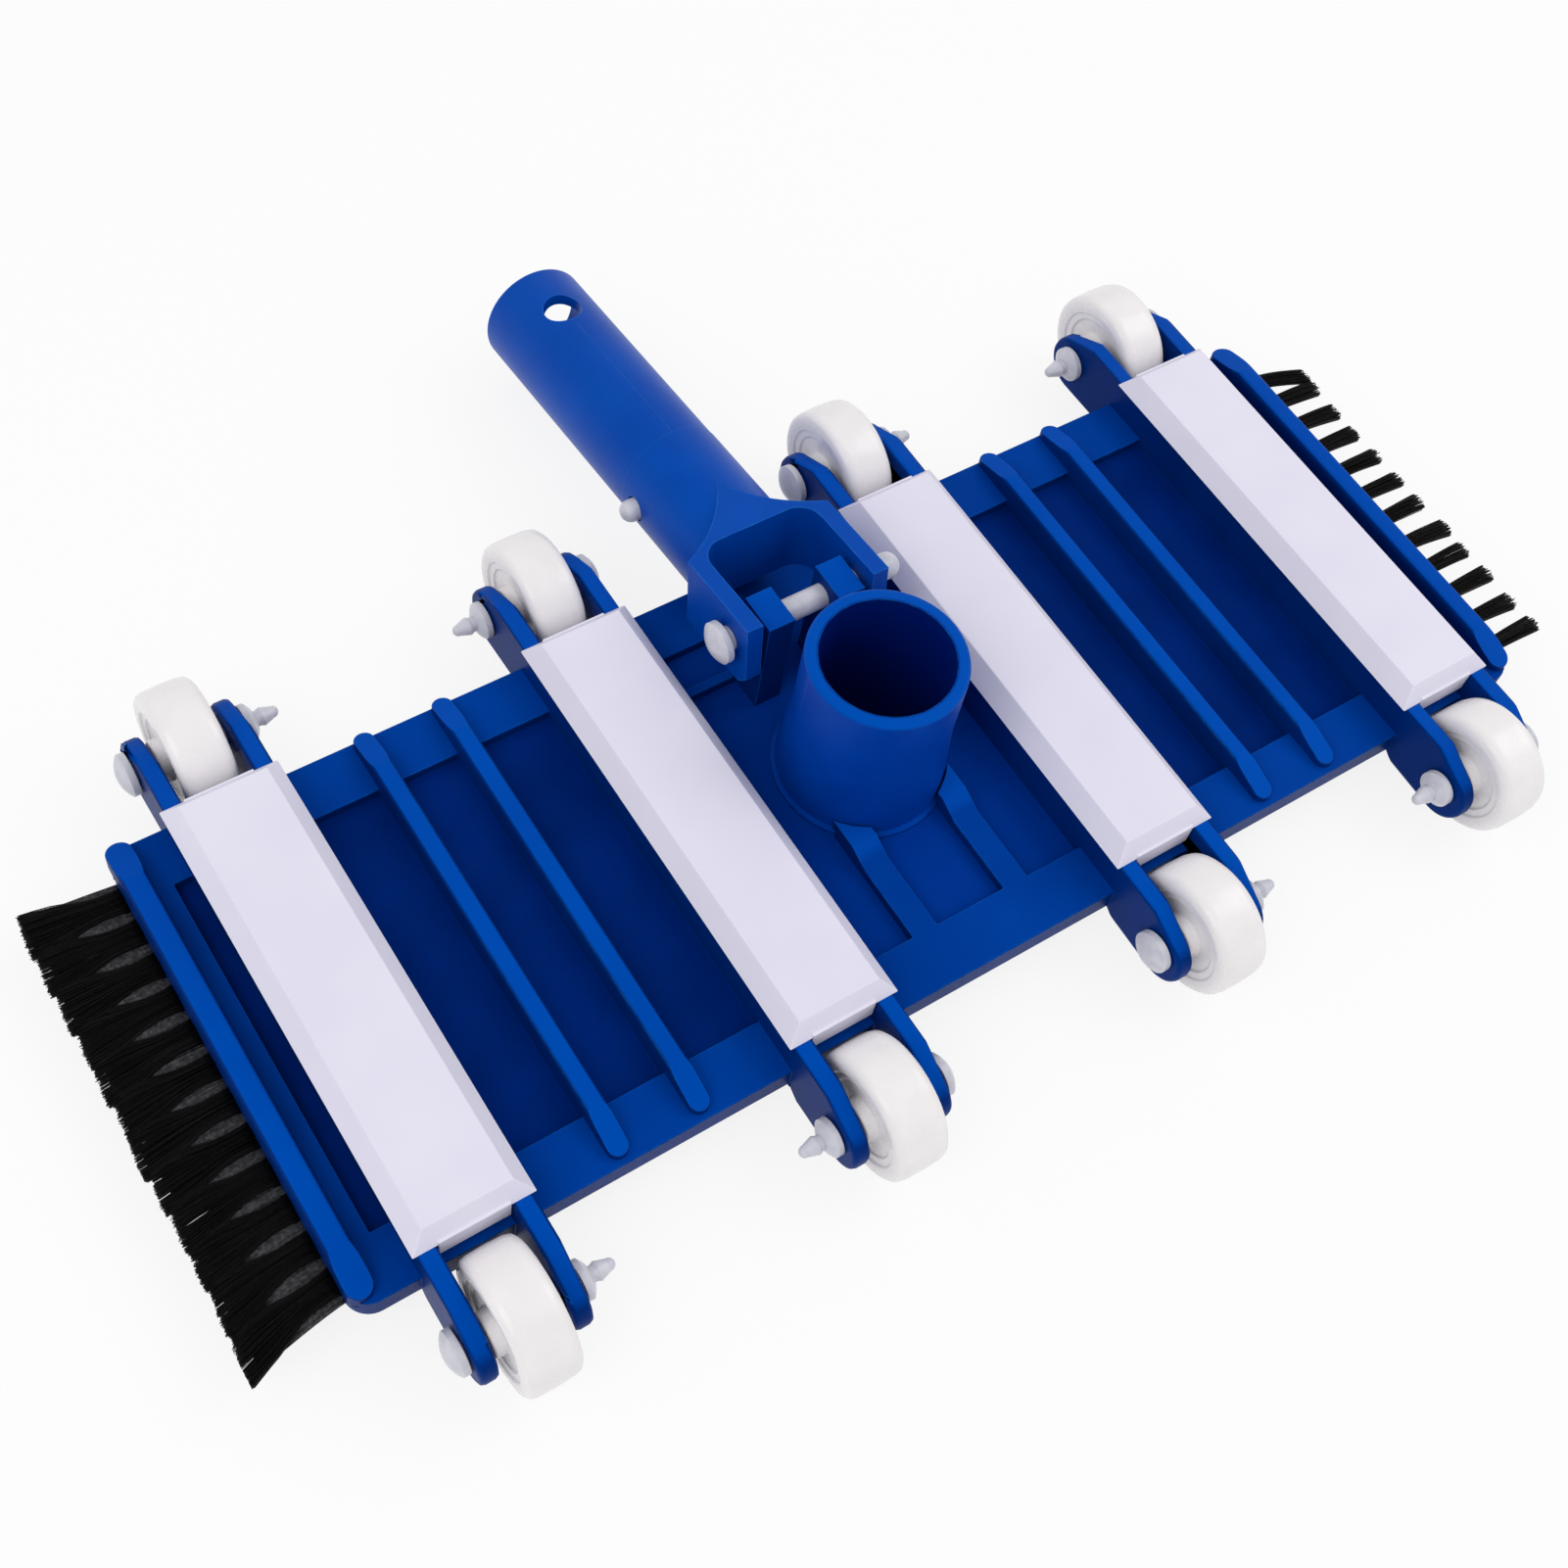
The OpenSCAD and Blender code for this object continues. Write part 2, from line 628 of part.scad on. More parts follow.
module handle_pin() {
    shaft_l = yoke_outer_w + 2 * pin_play;
    color(nylon) handle_frame() translate([-shaft_l / 2, 0, 0]) rotate([0, 90, 0]) {
        cylinder(r = pin_r, h = shaft_l);
        translate([0, 0, shaft_l]) cylinder(r = snap_r, h = snap_l);
        translate([0, 0, shaft_l + snap_l]) sphere(snap_r);
        mirror([0, 0, 1]) domed_head(head_r, head_h);
    }
}

// One arm of the clip: a flat strip along the bore's wall (s: -1 left, 1 right)
module clip_strip(s, bend_end) {
    translate([s * clip_x - clip_t / 2, clip_end, -clip_w / 2]) cube([clip_t, bend_end - clip_end, clip_w]);
}

// The U-shaped bow and its fixed arm
module clip_spring() {
    color(nylon) tube_frame() {
        translate([0, bow_v, 0]) difference() {
            cylinder(r = clip_x + clip_t / 2, h = clip_w, center = true);
            cylinder(r = clip_x - clip_t / 2, h = clip_w + over, center = true);
            translate([-tube_r, -2 * tube_r, -clip_w]) cube([2 * tube_r, 2 * tube_r, 2 * clip_w]);
        }
        clip_strip(1, bow_v);
    }
}

// The moving arm, with its button
module clip_button() {
    dome_x = tube_r + button_out - button_r;
    color(nylon) tube_frame() {
        clip_strip(-1, bow_v - 2 * loose_fit);
        translate([-clip_x, button_v, 0]) rotate([0, -90, 0]) cylinder(r = button_r, h = dome_x - clip_x);
        translate([-dome_x, button_v, 0]) sphere(button_r);
    }
}

// One tuft: a round root in its socket, then a flat fan that droops to its tip
module tuft(reach, tip_w) {
    tuft_len = (reach - loose_fit) / cos(tuft_droop);
    root_x = deck_l / 2 - tuft_socket_l + loose_fit;
    fan_x = deck_l / 2 + tuft_r;
    translate([root_x, 0, tuft_z]) rotate([0, 90, 0]) cylinder(r = tuft_r, h = fan_x - root_x, $fn = 32);
    translate([fan_x, 0, tuft_z]) rotate([0, tuft_droop, 0]) translate([-tuft_r / 2, 0, -tuft_h / 2])
        linear_extrude(tuft_h) polygon([
            [0, -tuft_r], [tuft_len - tuft_r / 2, -tip_w / 2], [tuft_len - tuft_r / 2, tip_w / 2], [0, tuft_r]
        ]);
}

module bristles(s, reach, tip_w) {
    color(black) mirror([s < 0 ? 1 : 0, 0, 0]) tuft_places() tuft(reach, tip_w);
}

base_plate();
hose_port();
for (i = RAILS) {
    weight_cover(i);
    ballast_bar(i);
}
for (s = SIDES, i = RAILS) {
    wheel(s, i);
    axle_pin(s, i);
    axle_cap(s, i);
}
handle();
handle_pin();
clip_spring();
clip_button();
bristles(-1, left_reach, left_tip_w);  // bristles_left
bristles(1, right_reach, right_tip_w);  // bristles_right
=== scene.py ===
"""A weighted pool vacuum head: a blue deck on eight wheels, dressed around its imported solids.

X runs along the deck, +Y points to the pole handle, +Z up. Lengths are in metres.
"""
import math

import bmesh
import bpy
import numpy as np
from mathutils import Matrix, Vector
from mathutils.bvhtree import BVHTree


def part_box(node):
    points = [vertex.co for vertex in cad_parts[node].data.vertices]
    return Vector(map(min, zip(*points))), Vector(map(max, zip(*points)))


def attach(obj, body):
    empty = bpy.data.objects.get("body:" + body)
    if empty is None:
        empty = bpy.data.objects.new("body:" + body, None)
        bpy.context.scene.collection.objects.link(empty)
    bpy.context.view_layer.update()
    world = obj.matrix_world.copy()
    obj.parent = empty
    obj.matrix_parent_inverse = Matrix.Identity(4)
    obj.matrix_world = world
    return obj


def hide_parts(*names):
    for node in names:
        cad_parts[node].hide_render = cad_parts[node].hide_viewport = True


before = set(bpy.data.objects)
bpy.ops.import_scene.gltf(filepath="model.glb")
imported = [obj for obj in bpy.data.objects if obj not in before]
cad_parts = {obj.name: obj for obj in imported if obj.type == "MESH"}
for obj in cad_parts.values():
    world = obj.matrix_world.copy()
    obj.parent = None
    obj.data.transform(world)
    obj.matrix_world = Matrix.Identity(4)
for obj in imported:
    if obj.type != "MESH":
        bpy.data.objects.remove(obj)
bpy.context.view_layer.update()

# ---------------------------------------------------------------- deck
# The deck is one moulding of blue polypropylene, with a floor, low rims, ribs,
# rails that end in the wheel brackets, and two lugs for the handle's pin.
# Its visible edges are eased, as a mould's are, and its faces have a satin grain.
MM = 0.001


def add_node(tree, kind, **sockets):
    """A shader node with its input sockets set by name (spaces written as _): a value, or the socket to link."""
    made = tree.nodes.new(kind)
    for name, value in sockets.items():
        socket = made.inputs[int(name[1:])] if name[1:].isdigit() else made.inputs[name.replace("_", " ")]
        if isinstance(value, bpy.types.NodeSocket):
            tree.links.new(value, socket)
        else:
            socket.default_value = value
    return made


def new_material(name):
    """An empty node material: its tree, its Principled shader and its Object coordinates."""
    material = bpy.data.materials.new(name)
    material.use_nodes = True
    tree = material.node_tree
    shader = tree.nodes["Principled BSDF"]
    place = tree.nodes.new("ShaderNodeTexCoord").outputs["Object"]
    return material, tree, shader, place


def grain(tree, place, size, detail=2.0):
    """Noise whose lumps are about size metres across."""
    return add_node(tree, "ShaderNodeTexNoise", Vector=place, Scale=1 / size, Detail=detail).outputs["Fac"]


def between(tree, value, low, high, out_low, out_high):
    """value mapped from low..high to out_low..out_high, and held there outside it."""
    return add_node(tree, "ShaderNodeMapRange", Value=value, From_Min=low, From_Max=high,
                    To_Min=out_low, To_Max=out_high).outputs["Result"]


def mix_colours(tree, amount, first, second):
    """Two colours mixed by amount."""
    made = tree.nodes.new("ShaderNodeMix")
    made.data_type = "RGBA"
    tree.links.new(amount, made.inputs["Factor"])
    for socket, value in (("A", first), ("B", second)):
        target = [s for s in made.inputs if s.name == socket and s.type == "RGBA"][0]
        if isinstance(value, bpy.types.NodeSocket):
            tree.links.new(value, target)
        else:
            target.default_value = value
    return [s for s in made.outputs if s.type == "RGBA"][0]


def worked_out(tree, operation, first, second=0.0):
    """A sum of the named kind on two values, such as MULTIPLY, or on the first alone, such as ABSOLUTE."""
    made = add_node(tree, "ShaderNodeMath", _0=first, _1=second)
    made.operation = operation
    return made.outputs[0]


def height_and_sides(tree, vector):
    """The X, Y and Z values of a place or a direction."""
    return add_node(tree, "ShaderNodeSeparateXYZ", Vector=vector).outputs


def edge_amount(tree, radius):
    """0 on flat faces and in corners, rising to 1 within radius of an outer edge: how far a rounded normal
    turns from the true one, where the open air round the point isn't cut off by another face."""
    rounded = add_node(tree, "ShaderNodeBevel", Radius=radius)
    rounded.samples = 6
    true_normal = tree.nodes.new("ShaderNodeNewGeometry").outputs["Normal"]
    dot = add_node(tree, "ShaderNodeVectorMath", _0=rounded.outputs["Normal"], _1=true_normal)
    dot.operation = "DOT_PRODUCT"
    turned_away = between(tree, dot.outputs["Value"], 1.0, 0.86, 0.0, 1.0)
    open_air = add_node(tree, "ShaderNodeAmbientOcclusion", Distance=3 * radius)
    open_air.samples = 8
    open_air.only_local = True
    outer = between(tree, open_air.outputs["AO"], 0.86, 0.97, 0.0, 1.0)
    return worked_out(tree, "MULTIPLY", turned_away, outer)


def at_height(tree, place, low, high):
    """0 below the height low, rising to 1 at the height high."""
    return between(tree, height_and_sides(tree, place)["Z"], low, high, 0.0, 1.0)


def facing_up(tree):
    """1 on faces that look up, falling to 0 on faces steeper than 50 degrees."""
    true_normal = tree.nodes.new("ShaderNodeNewGeometry").outputs["Normal"]
    return between(tree, height_and_sides(tree, true_normal)["Z"], 0.64, 0.93, 0.0, 1.0)


def moulded_blue(name, pigment_and_painted_shade_of, painted_edge_highlight=(0.012, 0.16, 0.60, 1), roughness=(0.36, 0.48), edge=0.55 * MM, gloss=0.25):
    """Satin blue polypropylene: pigment_and_painted_shade_of(tree, place) colours it, with any painted light and
    shade it holds; its outer edges are painted paler in patches as a painted highlight, and its grain is fine.
    """
    material, tree, shader, place = new_material(name)
    pigment_and_painted_shade = pigment_and_painted_shade_of(tree, place)
    # Painted highlight: the outer edges are painted the paler blue painted_edge_highlight, broken into patches by
    # noise.
    highlight_patches = between(tree, grain(tree, place, 3 * MM, 4), 0.35, 0.65, 0.25, 1.0)
    edges = worked_out(tree, "MULTIPLY", edge_amount(tree, edge), highlight_patches)
    tree.links.new(mix_colours(tree, edges, pigment_and_painted_shade, painted_edge_highlight), shader.inputs["Base Color"])
    fine = grain(tree, place, 0.45 * MM, 3)
    tree.links.new(between(tree, fine, 0.3, 0.7, *roughness), shader.inputs["Roughness"])
    bump = add_node(tree, "ShaderNodeBump", Strength=0.5, Distance=0.012 * MM, Height=fine)
    tree.links.new(bump.outputs["Normal"], shader.inputs["Normal"])
    shader.inputs["Specular IOR Level"].default_value = gloss
    shader.inputs["Specular Tint"].default_value = (0.0, 0.35, 1.0, 1)
    return material


def put_back(piece, source, reach):
    """Keeps the rounding of piece in its mesh. A point that it threw further than reach off the surface of source
    goes back to the nearest place on that surface."""
    mesh = bpy.data.meshes.new_from_object(piece.evaluated_get(bpy.context.evaluated_depsgraph_get()))
    piece.modifiers.clear()
    piece.data = mesh
    corners = [point.co for point in source.data.vertices]
    faces = [face.vertices for face in source.data.polygons]
    moulding_surface = BVHTree.FromPolygons(corners, faces)
    for point in mesh.vertices:
        nearest, _, _, far = moulding_surface.find_nearest(point.co)
        if far > reach:
            point.co = nearest


def eased_copy(node, radius, body, material, segments=2, sharp=32, ears=0.0):
    """A CAD node's own surface with its edges rounded to radius: its triangles are merged, its flat faces joined, and
    its edges bevelled. Where ears is given, edges past the deck's long sides are rounded to the radius ears, but not
    those of the pins' holes."""
    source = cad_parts[node]
    work = bmesh.new()
    work.from_mesh(source.data)
    bmesh.ops.remove_doubles(work, verts=work.verts, dist=0.002 * MM)
    bmesh.ops.dissolve_limit(work, angle_limit=math.radians(1.5), verts=work.verts, edges=work.edges)
    weights = work.edges.layers.float.new("bevel_weight_edge")
    low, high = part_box("wheel_rear_1")
    axle_y, axle_z = (low.y + high.y) / 2, (low.z + high.z) / 2
    ears_from, hole_edge = 67 * MM, 4 * MM
    for line in work.edges:
        if line.calc_face_angle(0.0) > math.radians(sharp):
            middle = (line.verts[0].co + line.verts[1].co) / 2
            off_axle = math.hypot(abs(middle.y) - axle_y, middle.z - axle_z)
            on_ear = abs(middle.y) > ears_from and off_axle > hole_edge
            line[weights] = 1.0 if on_ear or not ears else radius / ears
    mesh = bpy.data.meshes.new(node + "_moulding")
    work.to_mesh(mesh)
    work.free()
    if "custom_normal" in mesh.attributes:
        mesh.attributes.remove(mesh.attributes["custom_normal"])
    piece = bpy.data.objects.new(node + "_moulding", mesh)
    bpy.context.scene.collection.objects.link(piece)
    mesh.materials.clear()
    mesh.materials.append(material)
    mesh.shade_smooth()
    ease = piece.modifiers.new("eased_edges", "BEVEL")
    ease.width = max(radius, ears)
    ease.segments = segments
    ease.limit_method = "WEIGHT"
    ease.use_clamp_overlap = not ears
    ease.harden_normals = True
    ease.miter_outer = "MITER_ARC"
    if ears:
        put_back(piece, source, 0.55 * MM)
    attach(piece, body)
    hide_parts(node)
    return piece


def dress(nodes, material):
    """Puts a material on every slot of the named CAD nodes."""
    for name in nodes:
        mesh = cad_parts[name].data
        mesh.materials.clear()
        mesh.materials.append(material)


def deck_colour_with_painted_shade(tree, place):
    """Painted light and shade over a cloudy tone: the tray floors are painted deep as painted shade, the low rims
    clearer, and the tops of ribs and rails clearest as painted light; upright walls are painted a deep blue as
    painted shade. The two floors beside the port are a little clearer than the rest."""
    clouds = between(tree, grain(tree, place, 28 * MM, 3), 0.35, 0.65, 0.0, 1.0)
    # Painted shade: the tray floors are painted deep.
    tray = mix_colours(tree, clouds, (0.0, 0.017, 0.160, 1), (0.0, 0.022, 0.205, 1))
    off_middle = worked_out(tree, "ABSOLUTE", height_and_sides(tree, place)["X"])
    middle = between(tree, off_middle, 34 * MM, 40 * MM, 1.0, 0.0)
    tray = mix_colours(tree, middle, tray, (0.0, 0.036, 0.29, 1))
    rim = mix_colours(tree, clouds, (0.0, 0.042, 0.300, 1), (0.0, 0.050, 0.345, 1))
    # Painted light: the tops of ribs and rails are painted the clearest blue.
    top = mix_colours(tree, clouds, (0.0, 0.062, 0.400, 1), (0.0, 0.070, 0.440, 1))
    # Painted shade: upright walls are painted a deep blue.
    wall = mix_colours(tree, clouds, (0.0, 0.021, 0.160, 1), (0.0, 0.026, 0.190, 1))
    # Painted light and shade by height and slope: deep floors, clearer rims, clearest tops, deep walls.
    low = mix_colours(tree, at_height(tree, place, 0.2 * MM, 1.6 * MM), tray, rim)
    flat = mix_colours(tree, at_height(tree, place, 3.4 * MM, 4.4 * MM), low, top)
    return mix_colours(tree, facing_up(tree), wall, flat)


deck_blue = moulded_blue("deck_blue", deck_colour_with_painted_shade, gloss=0.06)
eased_copy("base_plate", 0.25 * MM, "deck", deck_blue, ears=1.2 * MM)

# ---------------------------------------------------------------- hose port
# The port is a turned-looking blue moulding that snaps into the deck's floor and
# swivels there; its straight top takes the hose's cuff.


def outside_bore(tree, place):
    """0 on the port's inside, 1 on its outside: 16.2 mm from its axis lies between them."""
    level = add_node(tree, "ShaderNodeVectorMath", _0=place, _1=(1, 1, 0))
    level.operation = "MULTIPLY"
    radius = add_node(tree, "ShaderNodeVectorMath", _0=level.outputs["Vector"])
    radius.operation = "LENGTH"
    return between(tree, radius.outputs["Value"], 16.0 * MM, 16.4 * MM, 0.0, 1.0)


def port_colour_with_painted_light(tree, place):
    """A clear blue wall under a clearer rim, painted light on its top, and a deep blue inside, painted shade in the
    bore.
    """
    clouds = between(tree, grain(tree, place, 12 * MM, 3), 0.35, 0.65, 0.0, 1.0)
    wall = mix_colours(tree, clouds, (0.0, 0.042, 0.335, 1), (0.0, 0.050, 0.375, 1))
    # Painted light: the rim above 44 mm is painted a clearer blue.
    outside = mix_colours(tree, at_height(tree, place, 44.0 * MM, 45.0 * MM), wall, (0.0, 0.072, 0.44, 1))
    # Painted shade: the bore is painted a deep blue.
    return mix_colours(tree, outside_bore(tree, place), (0.0, 0.012, 0.17, 1), outside)


port_blue = moulded_blue("port_blue", port_colour_with_painted_light, roughness=(0.34, 0.44))
tree = port_blue.node_tree
place = tree.nodes["Texture Coordinate"].outputs["Object"]
shine = between(tree, outside_bore(tree, place), 0.0, 1.0, 0.0, 0.12)
tree.links.new(shine, tree.nodes["Principled BSDF"].inputs["Specular IOR Level"])
eased_copy("hose_port", 0.4 * MM, "hose_port", port_blue)

# ---------------------------------------------------------------- weight covers
# Four off-white mouldings close the rails over the steel bars. They are a cool
# white with a fine matte grain, and their outer edges are painted paler as a painted highlight.


def matte_white(name):
    """Cool white moulded plastic with a fine, dry grain."""
    material, tree, shader, place = new_material(name)
    clouds = between(tree, grain(tree, place, 22 * MM, 2), 0.35, 0.65, 0.0, 1.0)
    plain = mix_colours(tree, clouds, (0.755, 0.735, 0.865, 1), (0.785, 0.765, 0.89, 1))
    fine = grain(tree, place, 0.4 * MM, 3)
    # Painted highlight: the outer edges are painted a paler white.
    edges = edge_amount(tree, 0.5 * MM)
    painted_edge_highlight = mix_colours(tree, edges, plain, (0.86, 0.85, 0.92, 1))
    tree.links.new(painted_edge_highlight, shader.inputs["Base Color"])
    tree.links.new(between(tree, fine, 0.3, 0.7, 0.5, 0.62), shader.inputs["Roughness"])
    bump = add_node(tree, "ShaderNodeBump", Strength=0.6, Distance=0.02 * MM, Height=fine)
    tree.links.new(bump.outputs["Normal"], shader.inputs["Normal"])
    shader.inputs["Specular IOR Level"].default_value = 0.3
    return material


cover_white = matte_white("cover_white")
for rail in range(1, 5):
    eased_copy(f"weight_cover_{rail}", 0.3 * MM, "deck", cover_white)

# ---------------------------------------------------------------- ballast bars
# Plain rolled steel bars lie in the rails, under the covers.
steel, tree, shader, place = new_material("bar_steel")
scale = grain(tree, place, 3 * MM, 4)
tree.links.new(mix_colours(tree, scale, (0.30, 0.30, 0.31, 1), (0.45, 0.45, 0.46, 1)), shader.inputs["Base Color"])
tree.links.new(between(tree, scale, 0.3, 0.7, 0.35, 0.55), shader.inputs["Roughness"])
shader.inputs["Metallic"].default_value = 1.0
dress([f"ballast_bar_{rail}" for rail in range(1, 5)], steel)

# ---------------------------------------------------------------- wheels
# Eight hard white wheels run on the pins. Each is a moulding with a crowned tread,
# rounded shoulders, and stepped rings round the hub in each of its sides.
wheel_white, tree, shader, place = new_material("wheel_white")
clouds = between(tree, grain(tree, place, 9 * MM, 3), 0.3, 0.7, 0.0, 1.0)
tree.links.new(mix_colours(tree, clouds, (0.85, 0.82, 0.83, 1), (0.90, 0.87, 0.88, 1)), shader.inputs["Base Color"])
ripple = grain(tree, place, 2.2 * MM, 2)
tree.links.new(between(tree, ripple, 0.3, 0.7, 0.22, 0.30), shader.inputs["Roughness"])


def surface(name, points, quads, triangles, material, body):
    """A mesh piece in the frame's own place from arrays of points and faces."""
    mesh = bpy.data.meshes.new(name)
    mesh.from_pydata(points.tolist(), [], quads.tolist() + triangles.tolist())
    mesh.materials.append(material)
    mesh.shade_smooth()
    piece = bpy.data.objects.new(name, mesh)
    bpy.context.scene.collection.objects.link(piece)
    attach(piece, body)
    return piece


def rounded(corners, cuts, steps=4):
    """A closed outline with each corner drawn as a curve: from a point cut before the corner to one cut after it,
    point t is (1-t)^2 first + 2t(1-t) corner + t^2 last. One more point on each side keeps the flats flat."""
    corners = np.array(corners, float)
    cuts = np.array(cuts, float)[:, None]
    back = np.roll(corners, 1, 0) - corners
    ahead = np.roll(corners, -1, 0) - corners
    back /= np.linalg.norm(back, axis=1)[:, None]
    ahead /= np.linalg.norm(ahead, axis=1)[:, None]
    first, last = corners + back * cuts, corners + ahead * cuts
    t = np.linspace(0, 1, steps)[None, :, None]
    curve = (1 - t) ** 2 * first[:, None] + 2 * t * (1 - t) * corners[:, None] + t ** 2 * last[:, None]
    guard_1, guard_2 = first + back * cuts * 0.2, last + ahead * cuts * 0.2
    return np.concatenate([guard_1[:, None], curve, guard_2[:, None]], axis=1).reshape(-1, 2)


def turned(profile, centre, steps):
    """A closed profile of (place along the axle, radius) turned about the axle: point (p, a) stands at
    centre + (along, radius cos a, radius sin a)."""
    angle = np.linspace(0, 2 * np.pi, steps, endpoint=False)[None, :]
    along, radius = profile[:, 0][:, None], profile[:, 1][:, None]
    x, y, z = along + 0 * angle, radius * np.cos(angle), radius * np.sin(angle)
    points = np.stack([centre[0] + x, centre[1] + y, centre[2] + z], axis=-1)
    index = np.arange(points.shape[0] * steps).reshape(-1, steps)
    ahead = np.roll(index, -1, 0)
    quads = np.stack([index, ahead, np.roll(ahead, -1, 1), np.roll(index, -1, 1)], axis=-1).reshape(-1, 4)
    return points.reshape(-1, 3), quads


def wheel_moulding(wheel):
    """One wheel about its own axle: bore, hub, web, two stepped rings, rounded shoulder and crowned tread."""
    low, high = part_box(wheel)
    centre = ((low.x + high.x) / 2, (low.y + high.y) / 2, (low.z + high.z) / 2)
    tread, hub = (high.z - low.z) / 2, (high.x - low.x) / 2
    side = [(hub, 3.1 * MM, 0.3), (hub, 5.3 * MM, 0.6), (5.4 * MM, 5.5 * MM, 0.4), (5.4 * MM, 9.5 * MM, 0.25),
            (5.95 * MM, 9.9 * MM, 0.2), (5.95 * MM, 11.5 * MM, 0.25), (6.5 * MM, 11.9 * MM, 0.2),
            (6.9 * MM, tread - 0.3 * MM, 2.6)]
    crown = [(0.0, tread, 2.0)]
    half = side + crown
    other = [(-along, radius, cut) for along, radius, cut in reversed(side)]
    outline = np.array(half + other)
    profile = rounded(outline[:, :2], outline[:, 2] * MM)
    points, quads = turned(profile, centre, 160)
    piece = surface(wheel + "_moulding", points, quads, np.zeros((0, 3), int), wheel_white, wheel)
    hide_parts(wheel)


for side in ("front", "rear"):
    for rail in range(1, 5):
        wheel_moulding(f"wheel_{side}_{rail}")

# ---------------------------------------------------------------- axle pins and caps
# Natural nylon pins with domed heads; their nipples stand out of pushed-on caps.
nylon, tree, shader, place = new_material("natural_nylon")
milky = between(tree, grain(tree, place, 2.5 * MM, 2), 0.3, 0.7, 0.0, 1.0)
tree.links.new(mix_colours(tree, milky, (0.56, 0.565, 0.64, 1), (0.66, 0.66, 0.73, 1)), shader.inputs["Base Color"])
shader.inputs["Roughness"].default_value = 0.32
shader.inputs["Subsurface Weight"].default_value = 0.25
shader.inputs["Subsurface Radius"].default_value = (1.0, 0.9, 0.9)
shader.inputs["Subsurface Scale"].default_value = 1.5 * MM
SIDES = [(side, rail) for side in ("front", "rear") for rail in range(1, 5)]
dress([f"axle_{part}_{side}_{rail}" for part in ("pin", "cap") for side, rail in SIDES], nylon)

# ---------------------------------------------------------------- handle
# The yoke and its tube are one blue moulding; the tube slides into a pool pole.


def handle_pigment(tree, place):
    """One even blue, a little cloudy along the tube."""
    clouds = between(tree, grain(tree, place, 18 * MM, 3), 0.35, 0.65, 0.0, 1.0)
    return mix_colours(tree, clouds, (0.0, 0.055, 0.385, 1), (0.0, 0.063, 0.42, 1))


handle_blue = moulded_blue("handle_blue", handle_pigment, gloss=0.36)
eased_copy("handle", 0.5 * MM, "handle", handle_blue)

# The two mould halves left a thin raised line along the top of the tube.
pin_place, tube_way = Vector((0, 0.0319, 0.0256)), math.radians(-7.5)
TUBE_TOP, LINE_START, LINE_END = 8.5 * MM, 38.5 * MM, 106.5 * MM


def parting_line():
    """A low ridge along the tube's top: its section is one hump of a cosine, which fades out at both ends."""
    along = np.linspace(0, 1, 60)[:, None]
    across = np.linspace(-1, 1, 9)[None, :]
    fade = np.clip(np.minimum(along, 1 - along) * 20, 0, 1)
    rise = (0.5 + 0.5 * np.cos(np.pi * across)) * 0.12 * MM * fade - 0.04 * MM
    x = across * 0.32 * MM + 0 * along
    v = LINE_START + along * (LINE_END - LINE_START) + 0 * across
    w = TUBE_TOP + rise
    cos, sin = math.cos(tube_way), math.sin(tube_way)
    points = np.stack([x, pin_place.y + v * cos - w * sin, pin_place.z + v * sin + w * cos], axis=-1)
    index = np.arange(points.shape[0] * 9).reshape(-1, 9)
    quads = np.stack([index[:-1, :-1], index[:-1, 1:], index[1:, 1:], index[1:, :-1]], axis=-1).reshape(-1, 4)
    no_triangles = np.zeros((0, 3), int)
    return surface("tube_parting_line", points.reshape(-1, 3), quads, no_triangles, handle_blue, "handle")


parting_line()


# ---------------------------------------------------------------- handle pin and pole clip
# The handle's pin and the V-shaped clip are of the same nylon as the axle pins.
dress(["handle_pin", "clip_spring", "clip_button"], nylon)

# ---------------------------------------------------------------- brushes
# Each end lip holds twelve tufts of black nylon filament. The left ones are
# splayed by use until they meet, and a lower layer of grey filaments between their roots is painted shade,
# the shade seen through the gaps; the right ones are still narrow.


def bristle_black(name, dark, pale, toned_to=200 * MM):
    """Black filament, from dark to pale along the row, and black beyond toned_to from the head's middle."""
    material, tree, shader, place = new_material(name)
    tone = between(tree, grain(tree, place, 0.8 * MM, 2), 0.35, 0.7, 0.0, 1.0)
    outward = worked_out(tree, "ABSOLUTE", height_and_sides(tree, place)["X"])
    end = between(tree, outward, toned_to - 3 * MM, toned_to, 0.0, 1.0)
    row = mix_colours(tree, tone, dark, pale)
    tree.links.new(mix_colours(tree, end, row, (0.0012, 0.0012, 0.0014, 1)), shader.inputs["Base Color"])
    shader.inputs["Roughness"].default_value = 0.5
    shader.inputs["Specular IOR Level"].default_value = 0.12
    return material


def filaments(centre, radius):
    """Three-sided tubes along centre lines (filament, step, xyz), which taper to three quarters of their radius."""
    count, steps = centre.shape[:2]
    turn = np.arange(3) * (2 * np.pi / 3)
    ring = np.stack([np.zeros(3), np.cos(turn), np.sin(turn)], axis=1)
    width = radius[:, None, None, None] * np.linspace(1, 0.75, steps)[None, :, None, None]
    points = centre[:, :, None, :] + ring[None, None] * width
    index = np.arange(count * steps * 3).reshape(count, steps, 3)
    a, b = index[:, :-1], index[:, 1:]
    sides = np.stack([a, np.roll(a, -1, 2), np.roll(b, -1, 2), b], axis=-1).reshape(-1, 4)
    ends = np.concatenate([index[:, 0, ::-1], index[:, -1]])
    return points.reshape(-1, 3), sides, ends


